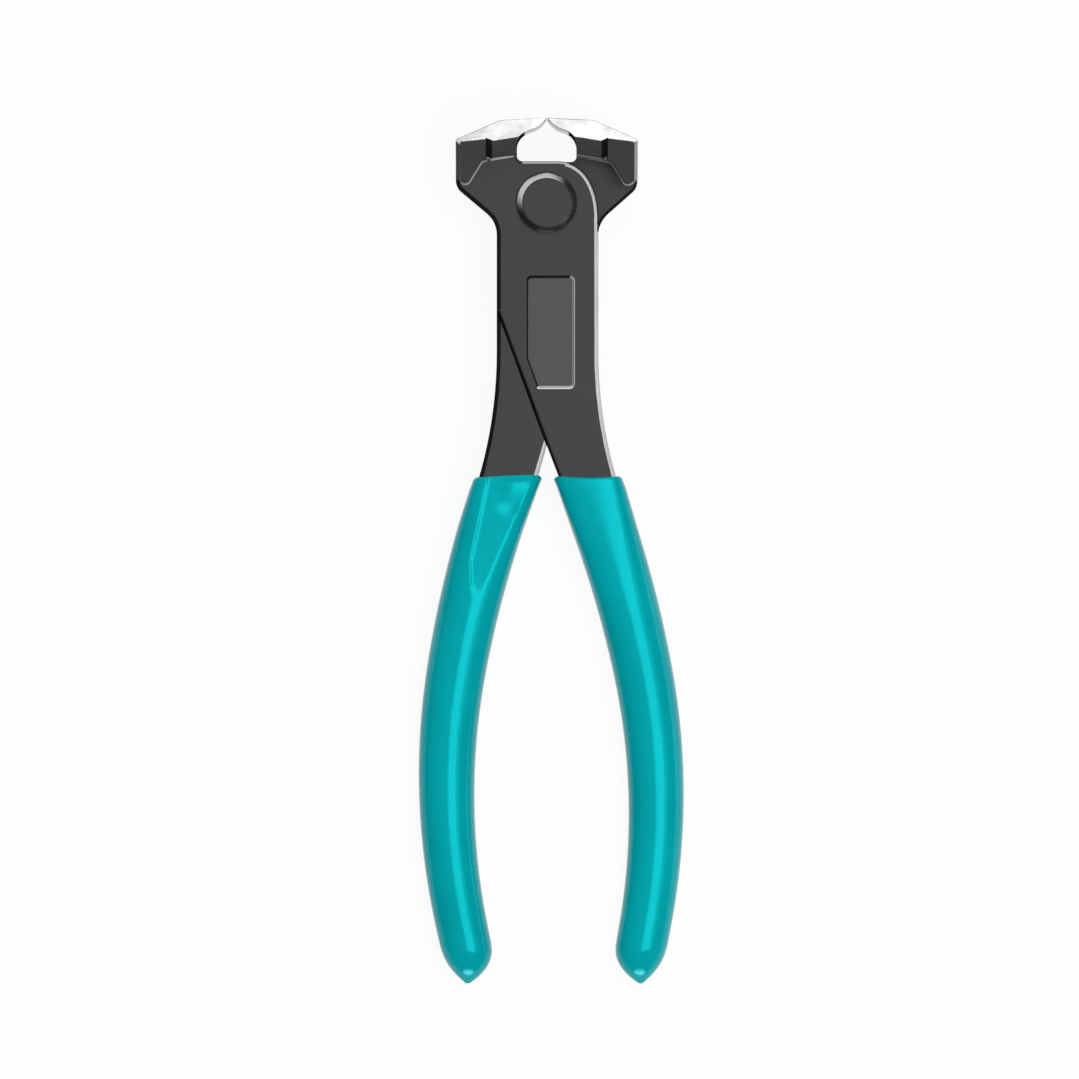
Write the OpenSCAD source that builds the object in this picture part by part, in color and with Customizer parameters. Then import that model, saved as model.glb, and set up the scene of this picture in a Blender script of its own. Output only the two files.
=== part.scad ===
// End cutting nippers, closed and lying on their side.
// Two forged levers cross in a lap joint on one rivet, and each handle wears a dipped grip.
// The origin is on the pivot axis, in the plane of the rear cheek. +Y points to the jaws
// and +Z from the rear cheek to the front one.

/* [Jaws] */
// Width of the closed head across both jaws
head_w = 37.8; // [36:0.1:42]
// Length of the cutting edges, along the rivet
edge_len = 22; // [18:0.5:26]
// Height of the cutting edges above the pivot
edge_y = 17.5; // [17:0.1:20]
// Room between the closed cutting edges
edge_gap = 0.12; // [0.06:0.02:0.3]
// Fall of the crown from the cutting edge to the crown's break
crown_drop = 0.5; // [0.2:0.1:1.5]
// Distance from the cutting edge out to the crown's break
crown_half_w = 9.7; // [8:0.1:13]
// Radius of that break
crown_r = 4; // [1:0.1:6]
// Height of the jaw's outer top corner above the pivot
corner_y = 13; // [12.6:0.1:15]
// Radius of that corner
corner_r = 0.8; // [0.3:0.1:1.5]
// Height above the pivot where the jaw's underside meets its outer side
heel_y = 3.3; // [2:0.1:4.5]
// Radius of that heel
heel_r = 3; // [1:0.1:4]
// Slope of the jaw's underside
heel_slope = 41.5; // [35:0.5:48]
// Radius between the jaw's underside and the neck
neck_r = 6; // [3:0.1:8]

/* [Jaw sides] */
// Height of the polished side's lower edge, above the outer facet's inner end
outer_facet_y = 13.2; // [12.9:0.1:13.6]
// Slope of the outer facet
outer_facet_slope = 30; // [26:0.1:35]
// Turn of the outer facet, rising towards the groove
outer_facet_turn = 7.7; // [4:0.1:9]
// Height of the polished side's lower edge, above the inner facet's outer end
inner_facet_y = 12.6; // [12:0.05:12.8]
// Run of the inner facet, from the polished side down to the cheek
inner_facet_run = 3.5; // [3:0.1:3.8]
// Turn of the inner facet, rising towards the throat
inner_facet_turn = 9.2; // [5:0.1:12]
// Distance from the cutting edge out to the inner facet's outer end
groove_in = 11.35; // [10:0.05:12]
// Width of the groove between the facets
groove_w = 1.3; // [0.8:0.05:1.8]
// How far the groove is sunk between the facets
groove_depth = 0.15; // [0.1:0.05:0.3]
// Distance from the jaw's outer side in to the lowest point of its foot
foot_in = 2.3; // [1.6:0.1:3.5]
// Height of that lowest point above the pivot
foot_y = 3.6; // [3:0.1:5]
// Radius of the foot's lowest point
foot_r = 1; // [0.4:0.1:1.4]
// Distance from the cutting edge out to where the foot turns
foot_turn_x = 13.5; // [13:0.1:14.5]
// Radius of that turn
foot_turn_r = 1.5; // [0.5:0.1:2]
// Straight run of the jaw's outer side between its heel and its foot
heel_land = 0.35; // [0.2:0.05:1]

/* [Throat] */
// Height of the tongues' top, which is the throat's floor
tongue_y = 8.65; // [8.2:0.05:9]
// Half width of the throat at its floor
throat_half_w = 6.2; // [5.8:0.05:6.6]
// Radius in the throat's lower corners
throat_r = 1.15; // [0.6:0.05:1.15]
// Half width of the throat where its sides turn in to the edges
throat_turn_half_w = 6.2; // [5.8:0.05:6.4]
// Height of that turn above the pivot
throat_turn_y = 14.15; // [13.8:0.05:14.4]
// Radius of that turn
throat_turn_r = 3.5; // [2:0.1:3.6]
// Half width of the throat where the edge's bevel starts
bevel_half_w = 1.7; // [1.4:0.05:1.9]
// Depth of the edge's bevel below the cutting edge
bevel_depth = 1.95; // [1.7:0.05:2.1]
// Radius between the bevel and the throat's side
bevel_r = 5; // [2:0.1:5.5]

/* [Joint] */
// Width of the neck
joint_w = 21.5; // [20:0.1:23]
// Thickness of one cheek, half of the joint
cheek_t = 5.75; // [4.5:0.05:7]
// Room between the two lapped faces
lap_gap = 0.06; // [0.02:0.02:0.2]
// Room beside the slanted lap edges when closed
lap_side_gap = 0.15; // [0.1:0.05:0.4]
// Depth below the pivot where the slanted lap edge leaves the neck
lap_y = 22.2; // [20:0.1:25]
// Slope of the lap edge from the tool's axis
lap_slope = 20.9; // [19:0.1:22]
// Radius of the forging's outer edges
edge_r = 0.85; // [0.3:0.05:1]
// Width of the tongue's shoulder
shoulder_w = 7.45; // [6.5:0.05:8.5]
// Height of the tongue's shoulder
shoulder_h = 10.65; // [9:0.05:12]

/* [Rivet] */
// Diameter of the rivet
rivet_d = 8; // [6:0.1:9]
// Radial running clearance of the rivet in the front lever
rivet_clear = 0.03; // [0.01:0.01:0.1]
// Radial room of the rivet in the rear lever
rivet_fit = 0.01; // [0.01:0.005:0.02]
// Diameter of the rivet's head
rivet_head_d = 12.7; // [10.5:0.1:14]
// Diameter of the flat on the head
rivet_flat_d = 9.9; // [8:0.1:10.4]
// Height of the head above the front cheek
rivet_head_h = 1.3; // [0.8:0.1:2]
// Height of the head's straight rim
rivet_rim_h = 0.3; // [0.1:0.05:0.6]
// Room under the head
rivet_head_gap = 0.05; // [0.02:0.01:0.2]
// Diameter of the rivet's set tail in the rear cheek
rivet_tail_d = 11; // [9.5:0.1:12]
// Depth of the tail's countersink
rivet_tail_h = 1.6; // [0.8:0.1:2.5]
// How far the tail lies below the rear cheek
rivet_tail_sink = 0.1; // [0.05:0.05:0.3]

/* [Panel] */
// Width of the recessed panel on the front cheek
panel_w = 10.3; // [8:0.1:12]
// Length of the recessed panel
panel_l = 23.6; // [18:0.1:26]
// Depth of the panel's upper edge below the pivot
panel_y = 15.1; // [12:0.1:16]
// Offset of the panel's middle from the tool's axis
panel_x = 0.75; // [0.5:0.05:1.5]
// Depth of the recess
panel_depth = 0.5; // [0.2:0.05:1]
// Width of the panel's slanted lower corner
panel_cut = 2.4; // [1.5:0.1:4]
// Corner radius of the panel
panel_r = 0.9; // [0.3:0.1:1.5]
// Radius below the slanted corner
panel_cut_r = 0.45; // [0.2:0.05:0.8]

/* [Handles] */
// Depth below the pivot where the shanks begin to spread
flare_y = 31; // [26:0.5:36]
// Radius of that spread
flare_r = 94; // [80:1:110]
// Depth of the grips' upper ends below the pivot
grip_y = 57; // [54:0.5:60]
// Length of a grip
grip_l = 105.5; // [98:0.5:115]
// Slope of a handle from the tool's axis where its grip begins
splay = 18.4; // [16:0.1:20]
// Length of the handle's straight start
straight_l = 13; // [8:0.5:18]
// Radius of the handle's upper bow
upper_bow_r = 230; // [200:1:300]
// Length of the upper bow
upper_bow_l = 28; // [20:0.5:34]
// Radius of the handle's lower bow
lower_bow_r = 140; // [125:1:180]
// Extra inward bend of the left handle
left_toe_in = 1.7; // [0:0.1:2.5]
// Thickness of a handle's tang at its top
tang_top_t = 10.2; // [8.5:0.1:11]
// Width of a tang at its end
tang_end_w = 8; // [7:0.1:10]
// Thickness of a tang at its end
tang_end_t = 7.4; // [6:0.1:9]
// How far a tang reaches into the grip's closed tip
tang_reach = 2; // [1:0.5:4]
// Step from the shank in to the tang, which the grip's lip covers
tang_step = 0.15; // [0.1:0.05:0.5]
// Wall of the dipped grip
grip_wall = 1.5; // [1:0.05:2]
// Room between tang and grip
grip_gap = 0.04; // [0.02:0.01:0.1]
// Radius of the grip's lip
lip_r = 0.7; // [0.3:0.05:0.9]
// Length of the grip's closed tip
tip_l = 9; // [6:0.5:12]
// Width of the blunt point at the tip, as a share of the grip's width
tip_share = 0.08; // [0.04:0.01:0.2]
// How far that point leans out from the handle's axis
tip_out = 1.75; // [0:0.05:2.5]
// Length over which a handle turns from square to oval
oval_l = 30; // [20:1:45]

/* [Hidden] */
$fn = 72;

// Points on each ring of a handle
ring_points = 28;
// Widest turn of one straight piece in a rounded corner, in degrees
arc_step = 9;
// How far a cutter reaches past what it cuts
past = 1;
// How far the cheek and the far shank reach into what they are fused with
fuse = 1.5;
// How far the shanks are drawn past the grips' upper ends before they are trimmed there
trim = 2;
// Steps in a rounded edge, and how far its cutter runs on past both faces, as a share of a step
rim_steps = 4;
rim_past = 0.5;
// Section exponents of a handle where its grip begins and where it is oval
square_power = 5;
oval_power = 2.3;
// How a handle's width falls along its length: above 1, most of it near the top
taper_power = 1.5;
// How a grip's tip closes along its length: above 1, most of it near the point
tip_power = 2.5;
// Radii of the tongue's shoulder, from its top down to the neck
shoulder_top_r = 6;
shoulder_mid_r = 5;
shoulder_low_r = 12;
// Where the shoulder's middle corner lies, as shares of its width and height
shoulder_mid_x = 0.66;
shoulder_mid_y = 0.315;

half_w = head_w / 2;
half_edge = edge_len / 2;
neck = joint_w / 2;
lap_run = tan(lap_slope);
rivet_r = rivet_d / 2;
steel = [0.16, 0.16, 0.17];
rivet_steel = [0.2, 0.2, 0.21];
teal = [0.02, 0.56, 0.6];

// Outlines: corners are [x, y, radius], listed anticlockwise, and every arc is tangent
function unit(v) = v / norm(v);
function flat(c) = [c[0], c[1]];
function arc_points(q, u, v, r) =
    let (half = acos(u * v) / 2)
    let (middle = q + unit(u + v) * r / sin(half))
    let (start = q + u * r / tan(half) - middle)
    let (turn = (180 - 2 * half) * sign(cross(-u, v)))
    let (steps = max(2, ceil(abs(turn) / arc_step)))
    [for (i = [0:steps]) let (a = turn * i / steps)
        middle + [start[0] * cos(a) - start[1] * sin(a), start[0] * sin(a) + start[1] * cos(a)]];
function rounded(corners) =
    let (n = len(corners))
    [for (i = [0:n - 1])
        let (q = flat(corners[i]))
        let (u = unit(flat(corners[(i + n - 1) % n]) - q))
        let (v = unit(flat(corners[(i + 1) % n]) - q))
        each (corners[i][2] > 0 ? arc_points(q, u, v, corners[i][2]) : [q])];

// Corners moved in by d, with arcs kept concentric
function inset(corners, d) =
    let (n = len(corners))
    [for (i = [0:n - 1])
        let (q = flat(corners[i]))
        let (u = unit(q - flat(corners[(i + n - 1) % n])))
        let (v = unit(flat(corners[(i + 1) % n]) - q))
        let (moved = q + [-u[1] - v[1], u[0] + v[0]] * d / (1 + u * v))
        [moved[0], moved[1], corners[i][2] > 0 ? corners[i][2] - d * sign(cross(u, v)) : 0]];

// Edges of the front lever, by depth below the pivot
function lap_x(depth) = -neck + (depth - lap_y) * lap_run;
function shank_x(depth) =
    let (d = max(0, depth - flare_y))
    neck + flare_r - sqrt(flare_r * flare_r - d * d);
function facet_top(x) = inner_facet_y + (x + groove_in) * tan(inner_facet_turn);
function facet_foot(x) = facet_top(x) - inner_facet_run / cos(inner_facet_turn);

// Ends of the left jaw's foot, where its block and its cheek meet
heel_top = heel_y + heel_r * tan((90 - heel_slope) / 2) + heel_land;
throat_lean = (throat_half_w - throat_turn_half_w) / (throat_turn_y - tongue_y);
function throat_x(y) = throat_half_w - (y - tongue_y) * throat_lean;
throat_foot_y = facet_foot(-throat_half_w);
throat_foot_x = throat_x(throat_foot_y);
// Height where the foot turns between them
foot_turn_y = facet_foot(-foot_turn_x);

// Right edge of the right shank, from below the grip's upper end to the neck
trim_y = grip_y + trim;
flare_steps = 10;
flare = [for (i = [flare_steps:-1:0])
    let (depth = flare_y + (trim_y - flare_y) * i / flare_steps)
    [shank_x(depth), -depth, 0]];

// Near half of the front lever: cheek, tongue and shank in front of the lap, fused with the jaw
cheek_corners = concat(
    [
        [-throat_x(throat_foot_y + fuse), throat_foot_y + fuse, 0],
        [-half_w, foot_turn_y + fuse, 0],
        [-half_w, heel_y, heel_r],
        [-neck, heel_y - (half_w - neck) * tan(heel_slope), neck_r],
        [-neck, -lap_y, 0],
        [lap_x(trim_y), -trim_y, 0]
    ],
    flare,
    [
        [neck, tongue_y - shoulder_h, shoulder_low_r],
        [neck - shoulder_w * (1 - shoulder_mid_x), tongue_y - shoulder_h * shoulder_mid_y, shoulder_mid_r],
        [neck - shoulder_w, tongue_y, shoulder_top_r],
        [-throat_half_w, tongue_y, throat_r]
    ]
);

// Far half of the front lever's shank, behind the lap
crotch_y = lap_y + (joint_w + lap_side_gap) / (2 * lap_run);
far_shank_corners = concat(
    [
        [neck, -lap_y - lap_side_gap / lap_run, 0],
        [lap_x(crotch_y), -crotch_y, 0],
        [lap_x(trim_y), -trim_y, 0]
    ],
    flare
);
// Its rounded edges, drawn on past the lap edge, which stays sharp
seam_past = joint_w / 2;
far_rim_corners = concat(
    [
        [neck, seam_past - lap_y, 0],
        [lap_x(crotch_y - seam_past), seam_past - crotch_y, 0],
        [lap_x(trim_y), -trim_y, 0]
    ],
    flare
);

// Jaw block above its foot, over the whole length of the cutting edge
foot_x = half_w - foot_in;
block_corners = [
    [-edge_gap / 2, edge_y, 0],
    [-crown_half_w, edge_y - crown_drop, crown_r],
    [-half_w, corner_y, corner_r],
    [-half_w, heel_top, 0],
    [-foot_x, foot_y, foot_r],
    [-foot_turn_x, foot_turn_y, foot_turn_r],
    [-throat_foot_x, throat_foot_y, 0],
    [-throat_turn_half_w, throat_turn_y, throat_turn_r],
    [-bevel_half_w, edge_y - bevel_depth, bevel_r]
];

// Handles: sections are level rings, set by their depth below the grips' upper ends
mouth_x = (lap_x(grip_y) + shank_x(grip_y)) / 2;
tang_top_w = shank_x(grip_y) - lap_x(grip_y) - 2 * tang_step;
tang_l = grip_l - tip_l + tang_reach;
function bow_sine(d) =
    let (upper = min(max(d - straight_l, 0), upper_bow_l))
    let (lower = max(d - straight_l - upper_bow_l, 0))
    sin(splay) - upper / upper_bow_r - lower / lower_bow_r;
function bow_x(d) =
    let (d1 = min(d, straight_l))
    let (d2 = min(d, straight_l + upper_bow_l))
    let (c0 = cos(splay))
    let (c1 = cos(asin(bow_sine(d2))))
    let (c2 = cos(asin(bow_sine(d))))
    mouth_x + d1 * tan(splay) + upper_bow_r * (c1 - c0) + lower_bow_r * (c2 - c1);
function taper(d) = pow(max(0, 1 - d / tang_l), taper_power);
function tang_half_w(d) = (tang_end_w + (tang_top_w - tang_end_w) * taper(d)) / 2;
function tang_half_t(d) = (tang_end_t + (tang_top_t - tang_end_t) * taper(d)) / 2;
function section_power(d) = oval_power + (square_power - oval_power) * pow(max(0, 1 - d / oval_l), 2);
function bent(x, power) = sign(x) * pow(abs(x), 2 / power);
// One ring at depth d, out from the tang by grow, and drawn in to a share of that size
function handle_ring(d, grow, share, toe_in) =
    let (power = section_power(d))
    let (w = (tang_half_w(d) + grow) * share)
    let (t = (tang_half_t(d) + grow) * share)
    [for (i = [0:ring_points - 1]) let (a = 360 * (i + 0.5) / ring_points)
        [bow_x(d) - d * tan(toe_in) + w * bent(cos(a), power), -grip_y - d, t * bent(sin(a), power)]];

// A closed skin over a run of rings, with a flat cap at each end
module loft(rings) {
    n = len(rings[0]);
    last = len(rings) - 1;
    sides = [for (k = [0:last - 1], i = [0:n - 1])
        let (a = k * n + i, b = k * n + (i + 1) % n)
        each [[a, a + n, b], [b, a + n, b + n]]];
    caps = [
        [for (i = [0:n - 1]) i],
        [for (i = [n - 1:-1:0]) last * n + i]
    ];
    polyhedron(points = [for (ring = rings) each ring], faces = concat(sides, caps), convexity = 6);
}

// Depths of the rings that tang and grip share
tang_steps = 14;
tang_depths = [for (i = [0:tang_steps]) tang_l * i / tang_steps];

module tang(toe_in) {
    root = handle_ring(0, 0, 1, toe_in);
    loft(concat(
        [[for (p = root) p + [0, past, 0]]],
        [for (d = tang_depths) handle_ring(d, 0, 1, toe_in)]
    ));
}

// What rounds the upper edge of an outline's plate, whose top is at z = cheek_t
module rim_cut(corners) {
    arc = [for (k = [0:rim_steps]) let (a = 90 * k / rim_steps)
        [edge_r * (1 - cos(a)), cheek_t - edge_r * (1 - sin(a))]];
    low = arc[0] - (arc[1] - arc[0]) * rim_past;
    high = arc[rim_steps] + (arc[rim_steps] - arc[rim_steps - 1]) * rim_past;
    profile = concat([low], [for (k = [1:rim_steps - 1]) arc[k]], [high, [low[0], high[1]]]);
    rings = [for (p = profile) [for (q = rounded(inset(corners, p[0]))) [q[0], q[1], p[1]]]];
    n = len(rings[0]);
    total = n * len(rings);
    polyhedron(
        points = [for (ring = rings) each ring],
        faces = [for (k = [0:len(rings) - 1], i = [0:n - 1])
            let (a = k * n + i, b = k * n + (i + 1) % n)
            each [[a, b, (a + n) % total], [b, (b + n) % total, (a + n) % total]]],
        convexity = 8
    );
}

module below_grip_tops() {
    translate([-head_w, -grip_y - 2 * trim, -edge_len])
        cube([2 * head_w, 2 * trim, 2 * edge_len]);
}

// Cuts one facet into both ends of the left jaw, between x0 and x1, from the polished side
// at height y over x = at, down to the cheek
module facet_cut(x0, x1, at, y, slope, turn) {
    low_y = -(half_edge - cheek_t) / tan(slope);
    below = -edge_y;
    for (side = [0, 1])
        mirror([0, 0, side])
            intersection() {
                translate([-x1, -edge_y, 0])
                    cube([x1 - x0, 3 * edge_y, edge_len]);
                translate([-at, y, 0])
                    rotate([0, 0, turn])
                        rotate([90, 0, 90])
                            linear_extrude(2 * head_w, center = true)
                                polygon([
                                    [0, half_edge],
                                    [low_y, cheek_t],
                                    [low_y + below, cheek_t],
                                    [low_y + below, edge_len],
                                    [edge_len - half_edge, edge_len]
                                ]);
            }
}

module jaw_block() {
    flare_h = half_edge - cheek_t;
    inner_slope = atan(flare_h / inner_facet_run);
    // The groove runs from one facet's top to the other's, sunk a little between them
    groove_turn = atan((outer_facet_y - inner_facet_y) / groove_w);
    groove_run = inner_facet_run / cos(inner_facet_turn) * cos(groove_turn);
    groove_slope = atan(flare_h / groove_run);
    groove_y = inner_facet_y + groove_depth;
    groove_out = groove_in + groove_w;
    difference() {
        linear_extrude(edge_len, center = true)
            polygon(rounded(block_corners));
        facet_cut(-past, groove_in, groove_in, inner_facet_y, inner_slope, inner_facet_turn);
        facet_cut(groove_in, groove_out, groove_in, groove_y, groove_slope, -groove_turn);
        facet_cut(groove_out, half_w + past, groove_out, outer_facet_y, outer_facet_slope, outer_facet_turn);
    }
}

// One forging with its jaw on the left and its cheek above the lap plane, z = 0
module forging(toe_in) {
    difference() {
        translate([0, 0, lap_gap / 2])
            linear_extrude(cheek_t - lap_gap / 2)
                polygon(rounded(cheek_corners));
        rim_cut(cheek_corners);
        below_grip_tops();
    }
    difference() {
        translate([0, 0, -cheek_t])
            linear_extrude(cheek_t + fuse)
                polygon(rounded(far_shank_corners));
        mirror([0, 0, 1])
            rim_cut(far_rim_corners);
        below_grip_tops();
    }
    jaw_block();
    tang(toe_in);
}

module panel_recess() {
    left = panel_x - panel_w / 2;
    right = panel_x + panel_w / 2;
    low = -panel_y - panel_l;
    translate([0, 0, cheek_t - panel_depth])
        linear_extrude(panel_depth + past)
            polygon(rounded([
                [left, -panel_y, panel_r],
                [left, low + panel_cut / lap_run, panel_r],
                [left + panel_cut, low, panel_cut_r],
                [right, low, panel_r],
                [right, -panel_y, panel_r]
            ]));
}

// The shapes above lie on the lap plane; the part's own zero is the rear cheek
module at_lap() {
    translate([0, 0, cheek_t])
        children();
}

module front_lever() {
    color(steel)
        at_lap()
            difference() {
                forging(0);
                cylinder(h = cheek_t + past, r = rivet_r + rivet_clear);
                panel_recess();
            }
}

module rear_lever() {
    color(steel)
        at_lap()
            difference() {
                rotate([0, 180, 0])
                    forging(left_toe_in);
                translate([0, 0, -cheek_t - past])
                    cylinder(h = cheek_t + past, r = rivet_r + rivet_fit);
                rotate_extrude()
                    polygon([
                        [0, -cheek_t - past],
                        [rivet_tail_d / 2 + rivet_fit, -cheek_t - past],
                        [rivet_tail_d / 2 + rivet_fit, -cheek_t],
                        [rivet_r + rivet_fit, rivet_tail_h - cheek_t],
                        [0, rivet_tail_h - cheek_t]
                    ]);
            }
}

module pivot_rivet() {
    seat = cheek_t + rivet_head_gap;
    tail_r = rivet_r + (rivet_tail_d / 2 - rivet_r) * (1 - rivet_tail_sink / rivet_tail_h);
    color(rivet_steel)
        at_lap()
            rotate_extrude()
                polygon([
                    [0, rivet_tail_sink - cheek_t],
                    [tail_r, rivet_tail_sink - cheek_t],
                    [rivet_r, rivet_tail_h - cheek_t],
                    [rivet_r, seat],
                    [rivet_head_d / 2, seat],
                    [rivet_head_d / 2, seat + rivet_rim_h],
                    [rivet_flat_d / 2, cheek_t + rivet_head_h],
                    [0, cheek_t + rivet_head_h]
                ]);
}

// A dipped sleeve: up the inside, over the lip, down the outside and over the tip
module grip(toe_in) {
    lip_steps = 3;
    tip_steps = 7;
    body_l = grip_l - tip_l;
    color(teal)
        loft(concat(
            [handle_ring(tang_l + grip_gap, grip_gap, 1, toe_in)],
            [for (i = [tang_steps:-1:1]) handle_ring(tang_depths[i], grip_gap, 1, toe_in)],
            [handle_ring(grip_gap, grip_gap, 1, toe_in)],
            [for (i = [0:lip_steps - 1]) let (a = 90 * i / lip_steps)
                handle_ring(grip_gap + lip_r * (1 - cos(a)), grip_wall - lip_r * (1 - sin(a)), 1, toe_in)],
            [for (i = [0:tang_steps]) let (from = grip_gap + lip_r)
                handle_ring(from + (body_l - from) * i / tang_steps, grip_wall, 1, toe_in)],
            [for (i = [1:tip_steps]) let (u = i / tip_steps)
                let (share = 1 - (1 - tip_share) * pow(u, tip_power))
                let (lean = [tip_out * u * u, 0, 0])
                [for (p = handle_ring(body_l + tip_l * u, grip_wall, share, toe_in)) p + lean]]
        ));
}

module right_grip() {
    at_lap()
        grip(0);
}

module left_grip() {
    at_lap()
        rotate([0, 180, 0])
            grip(left_toe_in);
}

rear_lever();
front_lever();
pivot_rivet();
left_grip();
right_grip();
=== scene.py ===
import math

import bmesh
import bpy
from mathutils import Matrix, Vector
from mathutils.bvhtree import BVHTree


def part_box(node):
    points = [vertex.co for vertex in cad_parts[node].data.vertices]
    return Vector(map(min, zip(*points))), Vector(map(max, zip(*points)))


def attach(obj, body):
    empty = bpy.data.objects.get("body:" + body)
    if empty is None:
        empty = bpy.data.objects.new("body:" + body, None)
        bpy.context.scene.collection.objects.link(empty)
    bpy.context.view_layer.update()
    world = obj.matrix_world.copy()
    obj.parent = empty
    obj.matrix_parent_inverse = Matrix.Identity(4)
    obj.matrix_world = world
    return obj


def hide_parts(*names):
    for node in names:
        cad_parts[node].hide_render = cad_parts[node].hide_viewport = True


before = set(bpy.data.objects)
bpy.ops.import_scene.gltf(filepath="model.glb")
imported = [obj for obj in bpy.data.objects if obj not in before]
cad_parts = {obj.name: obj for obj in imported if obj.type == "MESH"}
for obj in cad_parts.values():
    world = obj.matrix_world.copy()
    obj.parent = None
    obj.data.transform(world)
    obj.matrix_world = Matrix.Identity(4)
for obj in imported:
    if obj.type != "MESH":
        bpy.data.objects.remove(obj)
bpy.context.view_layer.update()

MM = 0.001
NEAR = 0.02 * MM
MERGE = 0.002 * MM

# Levels along the rivet's axis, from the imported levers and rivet
lever_low, lever_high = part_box("front_lever")
LAP_Z = (lever_low.z + lever_high.z) / 2
HALF_EDGE = (lever_high.z - lever_low.z) / 2
CHEEK_T = LAP_Z
LAP_GAP = 0.06 * MM
rivet_low, rivet_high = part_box("pivot_rivet")

# Head of the levers: its side, the ground crown, the throat, the jaws' feet and grooves, and the wings
HEAD_HALF_W = -lever_low.x
EDGE_Y = lever_high.y
EDGE_BEVEL_Y = EDGE_Y - 1.95 * MM
CROWN_Y = 12.9 * MM
THROAT_HALF_W = 6.2 * MM
FOOT_Y = 2.0 * MM
GROOVE_IN = 11.35 * MM
GROOVE_OUT = 12.65 * MM
LAP_RIM_X = 11.0 * MM
LAP_RIM_Y = -7.0 * MM
BORE_R = 6.0 * MM

# Strip round the throat painted black as shade on the ground steel: middle of its right half, radius and
# soft border
THROAT_MIDDLE = Vector((3.24, 11.51, 0)) * MM
THROAT_SHADE_R = 3.34 * MM
THROAT_SHADE_FADE = 0.12 * MM

# Panel on the front cheek, and where the seam of the flats runs through it
PANEL_LOW = Vector((-4.9, -39.2, 0)) * MM
PANEL_HIGH = Vector((6.4, -14.6, 0)) * MM
PANEL_DEPTH = 0.5 * MM
PANEL_X = 0.75 * MM

# Inner side of the rear lever's shank where it enters its grip, and how far it is set out there
GRIP_TOP_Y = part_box("right_grip")[1].y
SHANK_MIDDLE_X = -6.0 * MM
SHANK_END = 0.2 * MM
SHANK_OUT = 0.7 * MM

# Left side of the joint and of the shank below it: where it is drawn in, and how far
LEFT_TOP_Y = 1.0 * MM
LEFT_TOP_FADE = 5.0 * MM
LEFT_START_X = -6.0 * MM
LEFT_FADE = 4.0 * MM
LEFT_IN = 0.36 * MM

# Curve of a lever's shoulder round the pivot: directions in degrees, from the front, and radii
SHOULDER = [
    (-20, 11.44 * MM), (-14.1, 11.08 * MM), (-8.3, 10.79 * MM), (-1.9, 10.556 * MM),
    (4.7, 10.375 * MM), (15, 10.15 * MM), (25, 10.04 * MM), (41, 9.92 * MM),
    (54.7, 9.66 * MM), (62, 9.45 * MM), (69, 9.2 * MM), (75, 8.955 * MM),
]
SHOULDER_STEP = 4
SHOULDER_SLACK = 1
SHOULDER_INSIDE = 7.5 * MM
SHOULDER_END_Y = -6.0 * MM

# Radii of softened edges; the forging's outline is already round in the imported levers
FORGED_R = 0.85 * MM
FOOT_R = 0.3 * MM
JAW_SIDE_R = 1.1 * MM
GROUND_R = 0.15 * MM
PANEL_R = 0.45 * MM
PANEL_FOOT_R = 0.12 * MM
LAP_RIM_R = 0.6 * MM

# Angles in degrees: the least at which an edge is softened, by its place, and those of the flats
# that are merged and of the edges that are shaded smooth
HOLLOW_ANGLE = 10
FAR_FOOT_ANGLE = 25
LAP_RIM_ANGLE = 45
JAW_SIDE_ANGLE = 40
GROUND_ANGLE = 20
PANEL_ANGLE = 45
MERGED_ANGLE = 0.5
LEVER_SMOOTH_ANGLE = 32

# Slots of a lever's finishes; several of them paint highlights or shade by the way a face looks
FORGED, PAINTED_HIGHLIGHT, PAINTED_LIGHT_LINE, SCALE_AND_PAINTED_SHADE, MILLED_AND_PAINTED_LIGHT, GROUND, PAINTED_RIM_HIGHLIGHT = range(7)
# Finish of a softened edge that takes the one of the faces beside it
AS_BESIDE = -1

# How a face lies, by the part of its normal along an axis
LEVEL = 0.985
CHEEK_LEVEL = 0.99
RIM_LEAST = 0.05
STEEP = 0.8
WALL = 0.3
CROWN_SLOPE = 0.25
TURNED = 0.1
JAW_SIDE_TURNED = 0.2
JAW_SIDE_STEEP = 0.5
THROAT_SIDE_TURNED = 0.5

# Facets of a rounded rim that faces the painted light, from the cheek to the wall: least level, finish
# round the shoulder, finish under the throat, and how far a rim under the throat looks up. The finishes
# paint a highlight strip, and near-black shade on the steep facets round the shoulder
RIM_FACETS = [
    (0.9, PAINTED_RIM_HIGHLIGHT, FORGED, 0.98),
    (0.7, PAINTED_RIM_HIGHLIGHT, PAINTED_RIM_HIGHLIGHT, 0),
    (0.4, SCALE_AND_PAINTED_SHADE, PAINTED_RIM_HIGHLIGHT, 0.955),
    (0, SCALE_AND_PAINTED_SHADE, PAINTED_RIM_HIGHLIGHT, 0.985),
]
# Side from which the rims are painted with highlights, up and to the right, and the least cosine to it
PAINTED_LIGHT_WAY = Vector((math.cos(math.radians(50)), math.sin(math.radians(50)), 0))
PAINTED_LIGHT_SPREAD = math.cos(math.radians(80))
# Rim along the seam of the laps, which is painted near-black as shade only on its outer facets
SEAM_TOP_Y = -18.0 * MM
SEAM_TURNED = 0.2
SEAM_LEVEL = 0.93

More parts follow.
